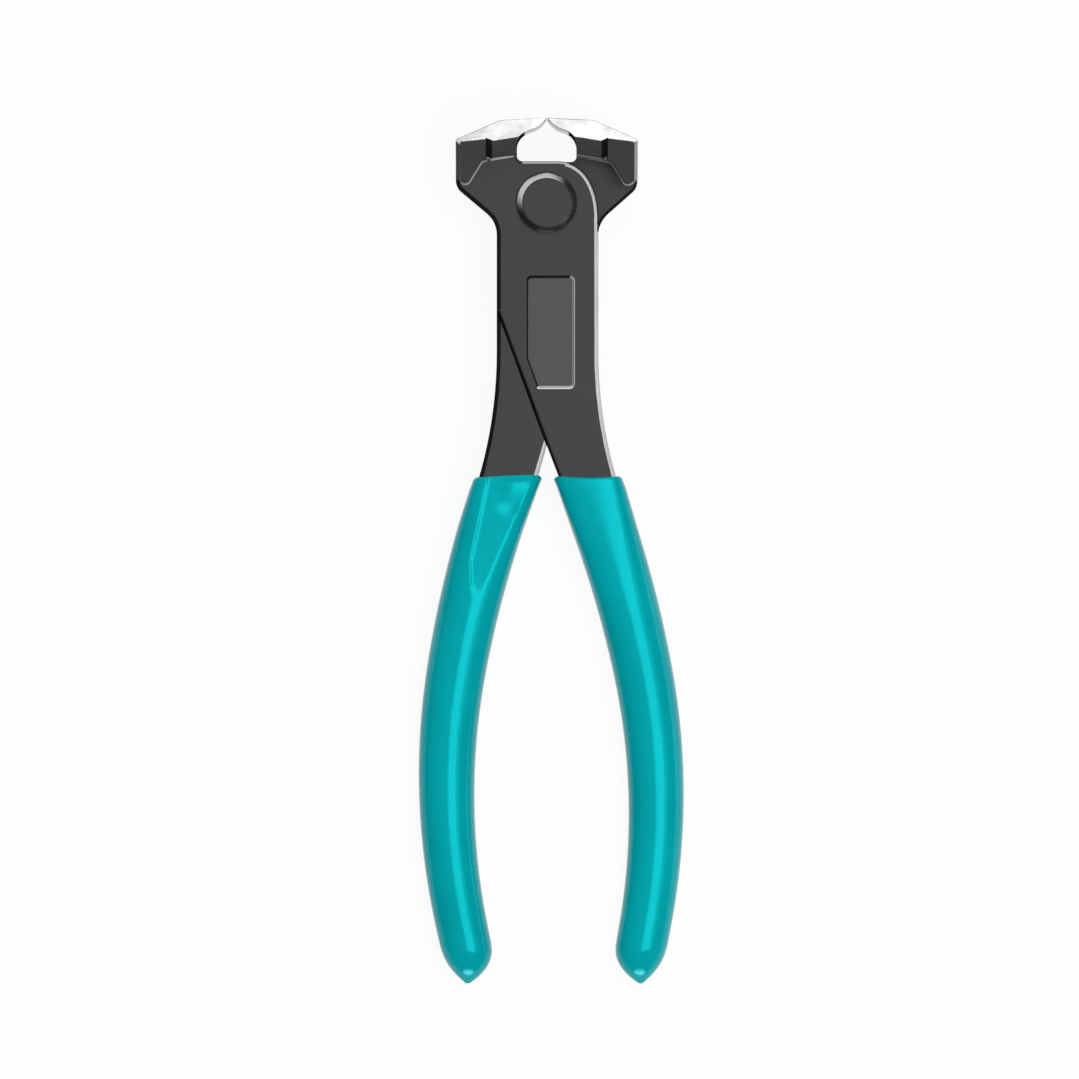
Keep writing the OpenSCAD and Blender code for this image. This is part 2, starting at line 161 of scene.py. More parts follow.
# Rivet, from its set tail up to the flat of its head
RIVET_SIDES = 96
RIVET_R = 4.0 * MM
RIVET_HEAD_R = rivet_high.x
RIVET_FLAT_R = 4.95 * MM
RIVET_TAIL_R = 5.4 * MM
RIVET_TAIL_TOP = 1.6 * MM
RIVET_GAP = 0.05 * MM
RIVET_SEAT = 2 * CHEEK_T + RIVET_GAP
RIVET_RIM_H = 0.55 * MM
RIVET_SOFT_R = 0.18 * MM
RIVET_EDGE_ANGLE = 15
RIVET_SMOOTH_ANGLE = 40
RIVET_BEVEL_NEAR = 0.02

# Grips: angle within which triangles pair up, and levels of rounding
GRIP_PAIR_ANGLE = 60
GRIP_ROUNDING = 3
# How far the right end of a mouth and both its ends stand up, and how far its left and right ends
# lie to the right
LEFT_MOUTH = (0.6 * MM, 0, LEFT_IN, 0.5 * MM)
RIGHT_MOUTH = (0, 0.4 * MM, 0, 0)
MOUTH_REACH = 12.0 * MM
# Lip of a mouth, and how its corners drop: depth, start and span as shares of half the lip, and reach
LIP_DEPTH = 1.6 * MM
LIP_CORNER = 0.55 * MM
LIP_CORNER_START = 0.8
LIP_CORNER_SPAN = 0.2
LIP_REACH = 3.0 * MM

# Flat on the front of the left grip: the bends of its left and right sides, from the mouth down
FLAT_LEFT = [Vector(p) * MM for p in ((-12.5, -57), (-16.2, -74.5), (-15.9, -80.4), (-13.8, -82))]
FLAT_RIGHT = [Vector(p) * MM for p in ((-2.9, -57), (-13.8, -82))]
FLAT_WALL = 0.6 * MM
FLAT_LEVEL = 0.8
# Marks that dipping left on the flat: middle, half width, half height and rise
DIP_MARKS = [
    (Vector((-7.5, -58.7)) * MM, 4.0 * MM, 2.4 * MM, 0.14 * MM),
    (Vector((-7.2, -63.6)) * MM, 3.4 * MM, 0.95 * MM, -0.2 * MM),
]
# Lowest point of a grip's front, and how far it looks up there
GRIP_FRONT_Z = LAP_Z + 3.0 * MM
GRIP_FRONT_LEVEL = 0.2

# Middle part of a noise pattern, over which colours and values are spread
NOISE_LOW = 0.3
NOISE_HIGH = 0.7
# How much rougher forged steel is where its cloudiness is palest
ROUGHNESS_SPREAD = 0.08
# Darkest and palest grey of forging scale, near black, which also paints shade on rims, grooves and the
# throat
SCALE_AND_SHADE_GREYS = (0.009, 0.014)

# Floor, which the jaws' ends and the grips' ends rest on
FLOOR_SIZE = 8.0
FLOOR_GLOW = 0.93
JAW_REST_Y = 12 * MM
JAW_REST_Z = LAP_Z - HALF_EDGE
GRIP_REST_Y = -155 * MM
GRIP_REST_Z = 0.5 * MM

# Camera straight down on the front cheek
FRAME_W = 224.8 * MM
VIEW_X = -1.5 * MM
VIEW_Y = -70.0 * MM
LENS = 400
SENSOR_W = 36
CLIP_END = 20

# Point that the lamps are turned to
AIM = Vector((0, -0.1, LAP_Z))
# Brightness of the studio round the tool: azimuth and elevation of its middle, the cosines to it at
# which it starts and is full, and its levels there
WALLS = (0, 0, -0.5, 0.6, 0.008, 0.012)
CEILING = (0, 90, 0.86, 0.97, 0, 0.5)
UPPER_LEFT = (119, 38, 0.53, 0.9, 0, 0.64)
LOW_RIGHT = (5, -10, 0.9, 0.97, 0, 2.0)
LOW_FRONT = (270, 0, 0.945, 0.985, 0, 10.0)


def eased(share):
    """Runs from 0 to 1 with soft ends."""
    share = min(max(share, 0), 1)
    return share * share * (3 - 2 * share)


def line_x(points, y):
    """Where a line of points, listed from the top down, passes a height."""
    for upper, lower in zip(points, points[1:]):
        if y >= lower.y:
            return lower.x + (upper.x - lower.x) * (y - lower.y) / (upper.y - lower.y)
    return points[-1].x


def way_to(azimuth, elevation):
    """Direction of an azimuth and elevation in degrees."""
    a, e = math.radians(azimuth), math.radians(elevation)
    return Vector((math.cos(a) * math.cos(e), math.sin(a) * math.cos(e), math.sin(e)))


def activate(piece):
    """Makes one object the only one that operators act on."""
    bpy.ops.object.select_all(action="DESELECT")
    piece.select_set(True)
    bpy.context.view_layer.objects.active = piece


def edit(piece, kind="EDGE"):
    """Opens one object for editing with nothing selected, and gives its mesh."""
    activate(piece)
    bpy.ops.object.mode_set(mode="EDIT")
    bpy.ops.mesh.select_mode(type=kind)
    bpy.ops.mesh.select_all(action="DESELECT")
    return bmesh.from_edit_mesh(piece.data)


def done():
    """Closes the object that is being edited."""
    bpy.ops.object.mode_set(mode="OBJECT")


def clean_copy(node_name, name):
    """A copy of a CAD node as one closed skin."""
    piece = bpy.data.objects.new(name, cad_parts[node_name].data.copy())
    bpy.context.scene.collection.objects.link(piece)
    piece.data.materials.clear()
    activate(piece)
    bpy.ops.mesh.customdata_custom_splitnormals_clear()
    edit(piece)
    bpy.ops.mesh.select_all(action="SELECT")
    bpy.ops.mesh.remove_doubles(threshold=MERGE)
    done()
    return piece


def round_edges(piece, wanted, radius, segments, finish=AS_BESIDE):
    """Rounds the edges that wanted(middle, edge, angle) picks; the angle is negative in a hollow."""
    skin = edit(piece)
    for edge in skin.edges:
        start, end = (v.co for v in edge.verts)
        angle = math.degrees(edge.calc_face_angle_signed(0))
        if wanted((start + end) / 2, edge, angle):
            edge.select_set(True)
    bmesh.update_edit_mesh(piece.data)
    bpy.ops.mesh.bevel(
        offset=radius, segments=segments, affect="EDGES", clamp_overlap=False, material=finish
    )
    done()


def smooth(piece, angle):
    """Smooth shading that leaves the flats flat."""
    activate(piece)
    bpy.ops.object.shade_smooth_by_angle(angle=math.radians(angle))
    weighted = piece.modifiers.new("weighted", "WEIGHTED_NORMAL")
    weighted.keep_sharp = True
    weighted.weight = 100
    bpy.ops.object.modifier_apply(modifier=weighted.name)


def at_level(edge, height):
    """True if an edge lies at this height before or behind the lap."""
    return all(abs(abs(v.co.z - LAP_Z) - height) < NEAR for v in edge.verts)


def in_panel(p):
    """True for a point inside the panel's border, on the front half."""
    return PANEL_LOW.x < p.x < PANEL_HIGH.x and PANEL_LOW.y < p.y < PANEL_HIGH.y and p.z > LAP_Z


def in_bore(p):
    """True for a point on the rivet's hole or its rim."""
    return Vector((p.x, p.y)).length < BORE_R


def merge_flats(piece, seam_x):
    """Joins the triangles of each flat into one face, with one seam through the holes."""
    edit(piece)
    bpy.ops.mesh.select_all(action="SELECT")
    bpy.ops.mesh.bisect(plane_co=(seam_x, 0, 0), plane_no=(1, 0, 0))
    bpy.ops.mesh.mark_seam()
    bpy.ops.mesh.select_all(action="SELECT")
    bpy.ops.mesh.dissolve_limited(angle_limit=math.radians(MERGED_ANGLE), delimit={"SEAM"})
    done()


def draw_in_panel(piece):
    """Draws the panel's walls in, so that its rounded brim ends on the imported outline."""
    middle = (PANEL_LOW + PANEL_HIGH) / 2
    floor_z = 2 * CHEEK_T - PANEL_DEPTH
    walls = [v.co for v in piece.data.vertices if in_panel(v.co) and v.co.z > floor_z - NEAR]
    half_w = max(abs(p.x - middle.x) for p in walls)
    half_l = max(abs(p.y - middle.y) for p in walls)
    for p in walls:
        p.x = middle.x + (p.x - middle.x) * (1 - PANEL_R / half_w)
        p.y = middle.y + (p.y - middle.y) * (1 - PANEL_R / half_l)


def widen_shank(piece):
    """Sets the inner side of the rear lever's shank out where it enters its grip."""
    for v in piece.data.vertices:
        if abs(v.co.y - GRIP_TOP_Y) < SHANK_END and v.co.x > SHANK_MIDDLE_X:
            v.co.x += SHANK_OUT


def draw_in_left(piece):
    """Draws the left side of the joint and of the shank in, fading out inside the grip."""
    for v in piece.data.vertices:
        share = eased((LEFT_START_X - v.co.x) / LEFT_FADE) * eased((LEFT_TOP_Y - v.co.y) / LEFT_TOP_FADE)
        v.co.x += LEFT_IN * share * eased((v.co.y - GRIP_TOP_Y + MOUTH_REACH) / MOUTH_REACH)


def shoulder_r(direction):
    """Radius of the shoulder's curve in one direction, and how much longer its rim is across there."""
    for (a, r), (next_a, next_r) in zip(SHOULDER, SHOULDER[1:]):
        if direction <= next_a:
            slope = (next_r - r) / math.radians(next_a - a)
            radius = r + slope * math.radians(direction - a)
            return radius, math.hypot(1, slope / radius)


def curve_shoulder(piece, cheek_side):
    """Draws the shoulder's edge out to an even curve, from the lap to the rounded rim."""

    def seen(p):
        """Direction, radius and height above the lap, as seen from the lever's own cheek."""
        across = p.x * cheek_side
        direction = math.degrees(math.atan2(p.y, across))
        return direction, math.hypot(across, p.y), (p.z - LAP_Z) * cheek_side

    def on_shoulder(p, slack=0):
        """True for a point on the shoulder's wall or rim; slack lets it start some degrees lower."""
        direction, radius, height = seen(p)
        inside = SHOULDER[0][0] - slack <= direction <= SHOULDER[-1][0]
        return inside and radius > SHOULDER_INSIDE and height > -NEAR

    def cut_rim(y, way):
        """Cuts the shoulder's wall and rim across, on a plane through x = 0 at this y."""
        skin = edit(piece, "FACE")
        for face in skin.faces:
            touches = any(on_shoulder(v.co, SHOULDER_SLACK) for v in face.verts)
            face.select_set(touches and abs(face.normal.z) < CHEEK_LEVEL)
        bmesh.update_edit_mesh(piece.data)
        bpy.ops.mesh.bisect(plane_co=(0, y, 0), plane_no=way)
        done()

    for direction in range(SHOULDER[0][0], SHOULDER[-1][0] + 1, SHOULDER_STEP):
        a = math.radians(direction)
        cut_rim(0, (-math.sin(a) * cheek_side, math.cos(a), 0))
    cut_rim(SHOULDER_END_Y, (0, 1, 0))
    for v in piece.data.vertices:
        direction, radius, height = seen(v.co)
        if on_shoulder(v.co):
            up = min(max(height - CHEEK_T + FORGED_R, 0), FORGED_R)
            rim_in = FORGED_R - math.sqrt(FORGED_R ** 2 - up ** 2)
            curve_r, slant = shoulder_r(direction)
            share = (curve_r - rim_in * slant) / radius
            v.co.x *= share
            v.co.y *= share


def panel_finish(normal):
    """Finish of a face in the panel.

    Its floor is milled. Its walls have light and shade painted on by the way they face: a bright painted
    highlight on its lower edge, a paler painted light line on its right edge, and painted near-black shade
    on its upper edge and on the steep part of its left edge.
    """
    if normal.z > LEVEL:
        return MILLED_AND_PAINTED_LIGHT
    if normal.y > max(abs(normal.x), TURNED):
        return PAINTED_HIGHLIGHT
    if normal.x < -TURNED:
        return PAINTED_LIGHT_LINE
    return SCALE_AND_PAINTED_SHADE if normal.y < -TURNED or normal.z < STEEP else FORGED


def jaw_finish(middle, normal, softened):
    """Finish of a face on a jaw's side; softened is the one that rounding its edges gave it."""
    # The jaw's groove is painted near-black as shade in the hollow
    if GROOVE_IN - NEAR < abs(middle.x) < GROOVE_OUT + NEAR:
        return SCALE_AND_PAINTED_SHADE
    if softened != FORGED:
        return softened
    # The rounded outer side has light painted on by the way it faces: a pale painted highlight where it
    # faces right, and a faint painted light line where it faces half left
    if abs(middle.x) > HEAD_HALF_W - JAW_SIDE_R - NEAR:
        if normal.x > JAW_SIDE_TURNED:
            return PAINTED_LIGHT_LINE
        return MILLED_AND_PAINTED_LIGHT if -JAW_SIDE_STEEP < normal.x < -TURNED else FORGED
    return FORGED


def painted_rim_finish(middle, normal, up):
    """Finish of a facet on a rim that faces the painted light.

    A painted highlight strip runs along the cheek round the shoulder, along the wall under the throat,
    where the rim looks up, and over the whole rim below the shoulder; the steep facets round the shoulder
    get painted near-black shade.
    """
    if middle.y < SHOULDER_END_Y:
        return PAINTED_RIM_HIGHLIGHT
    for least_level, round_shoulder, under_throat, least_up in RIM_FACETS:
        if abs(normal.z) > least_level:
            return under_throat if up > least_up else round_shoulder


def finish_of(face):
    """Which of a lever's finishes a face has, by its place and the way it looks."""
    middle = face.calc_center_median()
    normal = face.normal
    height = abs(middle.z - LAP_Z)
    if height > HALF_EDGE - GROUND_R / 2:
        return GROUND
    if middle.y > CROWN_Y and (normal.y > CROWN_SLOPE or middle.y > EDGE_BEVEL_Y):
        return GROUND
    in_throat = middle.y > FOOT_Y and abs(middle.x) < THROAT_HALF_W + NEAR
    # The throat's side walls are painted near-black as shade
    if in_throat and abs(normal.z) < WALL and normal.y < -TURNED:
        return SCALE_AND_PAINTED_SHADE if abs(normal.x) > THROAT_SIDE_TURNED else GROUND
    below_cheek = height < CHEEK_T - NEAR
    side = Vector((normal.x, normal.y, 0)).normalized()
    panel_side = side.dot(middle - (PANEL_LOW + PANEL_HIGH) / 2) <= 0
    if in_panel(middle) and panel_side and below_cheek and height > CHEEK_T - PANEL_DEPTH - NEAR:
        return panel_finish(normal)
    if middle.y > FOOT_Y and height > CHEEK_T + NEAR:
        return jaw_finish(middle, normal, face.material_index)
    on_rim = below_cheek and height > CHEEK_T - FORGED_R and RIM_LEAST < abs(normal.z) < LEVEL
    if not on_rim or in_bore(middle) or face.material_index:
        return face.material_index
    left_corner = middle.y > FOOT_Y and middle.x < 2 * FORGED_R - THROAT_HALF_W
    if left_corner and normal.y > 0:
        return FORGED
    # Rims that face up and to the right are painted with highlights
    if side.dot(PAINTED_LIGHT_WAY) > PAINTED_LIGHT_SPREAD:
        return painted_rim_finish(middle, normal, side.y if in_throat else 0)
    # Rims that face away from the light are painted near-black as shade; on the seam of the laps the
    # flatter facets stay plain forged steel
    on_seam = middle.y < SEAM_TOP_Y and side.y < -SEAM_TURNED
    return FORGED if on_seam and abs(normal.z) > SEAM_LEVEL else SCALE_AND_PAINTED_SHADE


def dressed_lever(node_name, name, seam_x, cheek_side, finishes):
    """A forged lever with its edges softened as forging and grinding leave them."""
    piece = clean_copy(node_name, name)
    for finish in finishes:
        piece.data.materials.append(finish)
    merge_flats(piece, seam_x)
    curve_shoulder(piece, cheek_side)
    if cheek_side > 0:
        draw_in_panel(piece)
    else:
        widen_shank(piece)
    draw_in_left(piece)

    def jaw_foot(p, edge, angle):
        return p.y > FOOT_Y and at_level(edge, CHEEK_T) and angle < -HOLLOW_ANGLE

    def far_foot(p, edge, angle):
        far = (p.z - LAP_Z) * cheek_side < 0
        return far and p.y > FOOT_Y and at_level(edge, CHEEK_T) and angle > FAR_FOOT_ANGLE

    def lap_foot(p, edge, angle):
        return p.y > FOOT_Y and at_level(edge, LAP_GAP / 2) and angle < -HOLLOW_ANGLE

    def lap_rim(p, edge, angle):
        on_wing = abs(p.x) > LAP_RIM_X and p.y > LAP_RIM_Y
        return on_wing and at_level(edge, LAP_GAP / 2) and angle > LAP_RIM_ANGLE

    def jaw_side(p, edge, angle):
        on_jaw = abs(p.x) > HEAD_HALF_W - NEAR and abs(p.z - LAP_Z) > CHEEK_T + NEAR
        return on_jaw and angle > JAW_SIDE_ANGLE

    def ground_end(p, edge, angle):
        return p.y > FOOT_Y and at_level(edge, HALF_EDGE) and angle > GROUND_ANGLE

    def panel_brim(p, edge, angle):
        return in_panel(p) and at_level(edge, CHEEK_T) and angle > PANEL_ANGLE

    def panel_foot(p, edge, angle):
        return in_panel(p) and angle < -PANEL_ANGLE

    round_edges(piece, panel_brim, PANEL_R, segments=3)
    round_edges(piece, panel_foot, PANEL_FOOT_R, segments=2)
    # The feet's rounding carries a painted light line, a painted highlight along each foot
    round_edges(piece, jaw_foot, FOOT_R, segments=3, finish=PAINTED_LIGHT_LINE)
    round_edges(piece, far_foot, FOOT_R, segments=3, finish=PAINTED_LIGHT_LINE)
    round_edges(piece, lap_foot, FOOT_R, segments=3, finish=PAINTED_LIGHT_LINE)
    round_edges(piece, lap_rim, LAP_RIM_R, segments=3, finish=SCALE_AND_PAINTED_SHADE)
    round_edges(piece, jaw_side, JAW_SIDE_R, segments=4)
    round_edges(piece, ground_end, GROUND_R, segments=2)
    skin = edit(piece)
    # Faces take finishes that paint highlights and shade by the way they face
    for face in skin.faces:
        face.material_index = finish_of(face)
    bmesh.update_edit_mesh(piece.data)
    done()
    smooth(piece, LEVER_SMOOTH_ANGLE)
    return piece


def dressed_rivet(finish, bevel_finish):
    """The rivet, drawn up ring by ring from its tail, with softened edges on its head."""
    rings = [
        (RIVET_TAIL_R, rivet_low.z),
        (RIVET_R, RIVET_TAIL_TOP),
        (RIVET_R, RIVET_SEAT),
        (RIVET_HEAD_R, RIVET_SEAT),
        (RIVET_HEAD_R, RIVET_SEAT + RIVET_RIM_H),
        (RIVET_FLAT_R, rivet_high.z),
    ]
    bpy.ops.object.select_all(action="DESELECT")
    bpy.ops.mesh.primitive_circle_add(
        vertices=RIVET_SIDES, radius=rings[0][0], fill_type="NGON", location=(0, 0, rings[0][1])
    )
    piece = bpy.context.object
    piece.name = "pivot_rivet_set"
    bpy.ops.object.transform_apply(location=True)
    bpy.ops.object.mode_set(mode="EDIT")
    bpy.ops.mesh.select_all(action="SELECT")
    for (radius, z), (next_radius, next_z) in zip(rings, rings[1:]):
        bpy.ops.mesh.extrude_region_move(TRANSFORM_OT_translate={"value": (0, 0, next_z - z)})
        share = next_radius / radius
        bpy.ops.transform.resize(value=(share, share, 1), center_override=(0, 0, next_z))
    bpy.ops.mesh.select_all(action="SELECT")
    bpy.ops.mesh.normals_make_consistent(inside=False)
    done()

    def head_edge(p, edge, angle):
        return p.z > RIVET_SEAT + NEAR and angle > RIVET_EDGE_ANGLE

    round_edges(piece, head_edge, RIVET_SOFT_R, segments=3)
    piece.data.materials.append(finish)
    piece.data.materials.append(bevel_finish)
    slope = math.atan2(rivet_high.z - RIVET_SEAT - RIVET_RIM_H, RIVET_HEAD_R - RIVET_FLAT_R)
    for face in piece.data.polygons:
        on_bevel = abs(face.normal.z - math.cos(slope)) < RIVET_BEVEL_NEAR
        face.material_index = 1 if on_bevel else 0
    smooth(piece, RIVET_SMOOTH_ANGLE)
    return piece


def shape_mouth(piece, mouth_shape):
    """Sets the mouth of a grip a little out of level, with dropped corners."""
    mouth = [v.co for v in piece.data.vertices if v.co.y > GRIP_TOP_Y - MOUTH_REACH]
    lip = [p.x for p in mouth if p.y > GRIP_TOP_Y - LIP_DEPTH]
    lip_left, lip_right = min(lip), max(lip)
    right_rise, ends_rise, left_in, right_out = mouth_shape
    for p in mouth:
        share = min(max((p.x - lip_left) / (lip_right - lip_left), 0), 1)
        from_middle = abs(2 * share - 1)
        rise = right_rise * share + ends_rise * from_middle ** 2
        drop = LIP_CORNER * max(from_middle - LIP_CORNER_START, 0) ** 2 / LIP_CORNER_SPAN ** 2
        near_mouth = eased((p.y - GRIP_TOP_Y + MOUTH_REACH) / MOUTH_REACH)
        near_lip = eased((p.y - GRIP_TOP_Y + LIP_REACH) / LIP_REACH)
        p.x += (left_in + (right_out - left_in) * share) * near_mouth
        p.y += rise * near_mouth - drop * near_lip


def dressed_grip(node_name, name, mouth_shape, finish):
    """A dipped sleeve, smoothed all round."""
    piece = clean_copy(node_name, name)
    edit(piece, "FACE")
    bpy.ops.mesh.select_all(action="SELECT")
    pair_angle = math.radians(GRIP_PAIR_ANGLE)
    bpy.ops.mesh.tris_convert_to_quads(face_threshold=pair_angle, shape_threshold=pair_angle)
    done()
    rounding = piece.modifiers.new("rounding", "SUBSURF")
    rounding.levels = GRIP_ROUNDING
    rounding.render_levels = GRIP_ROUNDING
    activate(piece)
    bpy.ops.object.modifier_apply(modifier=rounding.name)
    shape_mouth(piece, mouth_shape)
    piece.data.materials.append(finish)
    bpy.ops.object.shade_smooth()
    return piece


def press_flat(piece):
    """Presses the flat below the left grip's mouth, with a short wall on its left."""
    mesh = piece.data
    skin = BVHTree.FromPolygons([v.co for v in mesh.vertices], [p.vertices for p in mesh.polygons])

    def surface(x, y):
        return skin.ray_cast(Vector((x, y, 1)), Vector((0, 0, -1)))[0].z

    front = [v.co for v in mesh.vertices if v.normal.z > GRIP_FRONT_LEVEL and v.co.z > GRIP_FRONT_Z]
    for p in front:
        left, right = line_x(FLAT_LEFT, p.y), line_x(FLAT_RIGHT, p.y)
        if p.y < FLAT_LEFT[-1].y or not left < p.x < right:
            continue
        below_lip = min(p.y, GRIP_TOP_Y - LIP_DEPTH)
        left_z, right_z = surface(left, below_lip), surface(right, below_lip)
        level = left_z + (right_z - left_z) * FLAT_LEVEL
        flat_z = right_z + (level - right_z) * (right - p.x) / (right - left)
        p.z += (min(p.z, flat_z) - p.z) * eased((p.x - left) / FLAT_WALL)
        for middle, half_w, half_h, rise in DIP_MARKS:
            away = math.hypot((p.x - middle.x) / half_w, (p.y - middle.y) / half_h)
            p.z += rise * eased(1 - away)


def grey(value):
    """A grey as a colour."""
    return value, value, value


def new_material(name):
    """A material with its shader and a place to read patterns from."""
    material = bpy.data.materials.new(name)
    material.use_nodes = True
    tree = material.node_tree
    shader = tree.nodes["Principled BSDF"]
    coordinates = tree.nodes.new("ShaderNodeTexCoord")
    return material, tree, shader, coordinates.outputs["Object"]


def noise(tree, place, scale, detail, stretch=None):
    """A noise pattern, drawn out along an axis where stretch says so."""
    if stretch:
        mapping = tree.nodes.new("ShaderNodeMapping")
        mapping.inputs["Scale"].default_value = stretch
        tree.links.new(place, mapping.inputs["Vector"])
        place = mapping.outputs["Vector"]
    pattern = tree.nodes.new("ShaderNodeTexNoise")
    pattern.inputs["Scale"].default_value = scale
    pattern.inputs["Detail"].default_value = detail
    tree.links.new(place, pattern.inputs["Vector"])
    return pattern.outputs["Fac"]


def colours(tree, pattern, low, high):
    """Two colours mixed by a pattern."""
    ramp = tree.nodes.new("ShaderNodeValToRGB")
    ramp.color_ramp.elements[0].position = NOISE_LOW
    ramp.color_ramp.elements[0].color = (*low, 1)
    ramp.color_ramp.elements[1].position = NOISE_HIGH
    ramp.color_ramp.elements[1].color = (*high, 1)
    tree.links.new(pattern, ramp.inputs["Fac"])
    return ramp.outputs["Color"]


def values(tree, pattern, low, high):
    """A pattern spread between two values."""
    spread = tree.nodes.new("ShaderNodeMapRange")
    spread.inputs["From Min"].default_value = NOISE_LOW
    spread.inputs["From Max"].default_value = NOISE_HIGH
    spread.inputs["To Min"].default_value = low
    spread.inputs["To Max"].default_value = high
    tree.links.new(pattern, spread.inputs["Value"])
    return spread.outputs["Result"]


def bump(tree, pattern, depth, below=None):
    """Relief of a real depth, laid over another one where given."""
    relief = tree.nodes.new("ShaderNodeBump")
    relief.inputs["Strength"].default_value = 0.5
    relief.inputs["Distance"].default_value = depth
    tree.links.new(pattern, relief.inputs["Height"])
    if below:
        tree.links.new(below, relief.inputs["Normal"])
    return relief.outputs["Normal"]


def forged_finish(name, greys, metal, roughness, specular, relief=0.02 * MM):
    """Forged steel with a fine grain and a faint cloudiness, from black oxide to the pale steels that
    paint highlights.
    """
    material, tree, shader, place = new_material(name)
    clouds = noise(tree, place, scale=140, detail=4)
    grain = noise(tree, place, scale=2600, detail=2)
    low, high = greys
    tree.links.new(colours(tree, clouds, grey(low), grey(high)), shader.inputs["Base Color"])
    rough = values(tree, clouds, roughness, roughness + ROUGHNESS_SPREAD)
    tree.links.new(rough, shader.inputs["Roughness"])
    tree.links.new(bump(tree, grain, relief), shader.inputs["Normal"])
    shader.inputs["Metallic"].default_value = metal
    shader.inputs["Specular IOR Level"].default_value = specular
    return material


def painted_throat_shade(tree, place):
    """1 on the narrow strip round the throat that is painted black as shade, 0 elsewhere."""
    axes = tree.nodes.new("ShaderNodeSeparateXYZ")
    tree.links.new(place, axes.inputs["Vector"])
    across = tree.nodes.new("ShaderNodeMath")
    across.operation = "ABSOLUTE"
    tree.links.new(axes.outputs["X"], across.inputs[0])
    folded = tree.nodes.new("ShaderNodeCombineXYZ")
    tree.links.new(across.outputs["Value"], folded.inputs["X"])
    tree.links.new(axes.outputs["Y"], folded.inputs["Y"])
    away = tree.nodes.new("ShaderNodeVectorMath")
    away.operation = "DISTANCE"
    away.inputs[1].default_value = THROAT_MIDDLE
    tree.links.new(folded.outputs["Vector"], away.inputs[0])
    strip = tree.nodes.new("ShaderNodeMapRange")
    strip.inputs["From Min"].default_value = THROAT_SHADE_R
    strip.inputs["From Max"].default_value = THROAT_SHADE_R - THROAT_SHADE_FADE
    tree.links.new(away.outputs["Value"], strip.inputs["Value"])
    return strip.outputs["Result"]


def ground_finish():
    """Bright ground steel with fine grinding lines across the jaws, painted black as shade where the
    throat begins.
    """
    material, tree, shader, place = new_material("ground_steel")
    lines = noise(tree, place, scale=1, detail=4, stretch=(90, 4200, 4200))
    clouds = noise(tree, place, scale=260, detail=3)
    # Painted shade: a black strip round the throat, in the near-black greys
    strip = painted_throat_shade(tree, place)
    finish = tree.nodes.new("ShaderNodeMix")
    finish.data_type = "RGBA"
    tree.links.new(strip, finish.inputs["Factor"])
    steel = colours(tree, clouds, low=(0.24, 0.24, 0.245), high=grey(0.4))
    tree.links.new(steel, finish.inputs["A"])
    low, high = SCALE_AND_SHADE_GREYS
    tree.links.new(colours(tree, clouds, grey(low), grey(high)), finish.inputs["B"])
    tree.links.new(finish.outputs["Result"], shader.inputs["Base Color"])
    bare = tree.nodes.new("ShaderNodeMapRange")
    bare.inputs["To Min"].default_value = 1.0
    bare.inputs["To Max"].default_value = 0.0
    tree.links.new(strip, bare.inputs["Value"])
    tree.links.new(bare.outputs["Result"], shader.inputs["Metallic"])
    tree.links.new(values(tree, lines, low=0.2, high=0.36), shader.inputs["Roughness"])
    tree.links.new(bump(tree, lines, depth=0.006 * MM), shader.inputs["Normal"])
    shader.inputs["Specular IOR Level"].default_value = 0.15
    return material


def dipped_finish():
    """Glossy dipped vinyl: teal right through, with a slightly uneven, orange-peel skin."""
    material, tree, shader, place = new_material("dipped_teal_vinyl")
    clouds = noise(tree, place, scale=70, detail=3)
    peel = noise(tree, place, scale=520, detail=2)
    waves = noise(tree, place, scale=95, detail=1)
    teals = colours(tree, clouds, low=(0.0012, 0.33, 0.37), high=(0.0012, 0.37, 0.41))
    tree.links.new(teals, shader.inputs["Base Color"])
    tree.links.new(values(tree, peel, low=0.12, high=0.17), shader.inputs["Roughness"])
    waved = bump(tree, waves, depth=0.08 * MM)
    tree.links.new(bump(tree, peel, depth=0.012 * MM, below=waved), shader.inputs["Normal"])
    shader.inputs["Specular IOR Level"].default_value = 0.5
    shader.inputs["Specular Tint"].default_value = (0.02, 0.95, 1.0, 1)
    return material


def floor_finish():
    """Pale floor that looks white to the eye and still takes the shadow."""
    material = bpy.data.materials.new("pale_floor")
    material.use_nodes = True
    tree = material.node_tree
    tree.nodes.clear()
    output = tree.nodes.new("ShaderNodeOutputMaterial")
    matt = tree.nodes.new("ShaderNodeBsdfDiffuse")
    matt.inputs["Color"].default_value = (0.85, 0.85, 0.85, 1)
    white = tree.nodes.new("ShaderNodeEmission")
    white.inputs["Color"].default_value = (1, 1, 1, 1)
    white.inputs["Strength"].default_value = 1.0
    path = tree.nodes.new("ShaderNodeLightPath")
    seen = path.outputs["Is Camera Ray"]
    for ray in ("Is Glossy Ray", "Is Transmission Ray"):
        either = tree.nodes.new("ShaderNodeMath")
        either.operation = "MAXIMUM"
        tree.links.new(seen, either.inputs[0])
        tree.links.new(path.outputs[ray], either.inputs[1])
        seen = either.outputs["Value"]
    share = tree.nodes.new("ShaderNodeMath")
    share.operation = "MULTIPLY"
    share.inputs[1].default_value = FLOOR_GLOW
    tree.links.new(seen, share.inputs[0])
    mix = tree.nodes.new("ShaderNodeMixShader")
    tree.links.new(share.outputs["Value"], mix.inputs["Fac"])
    tree.links.new(matt.outputs["BSDF"], mix.inputs[1])
    tree.links.new(white.outputs["Emission"], mix.inputs[2])
    tree.links.new(mix.outputs["Shader"], output.inputs["Surface"])
    return material


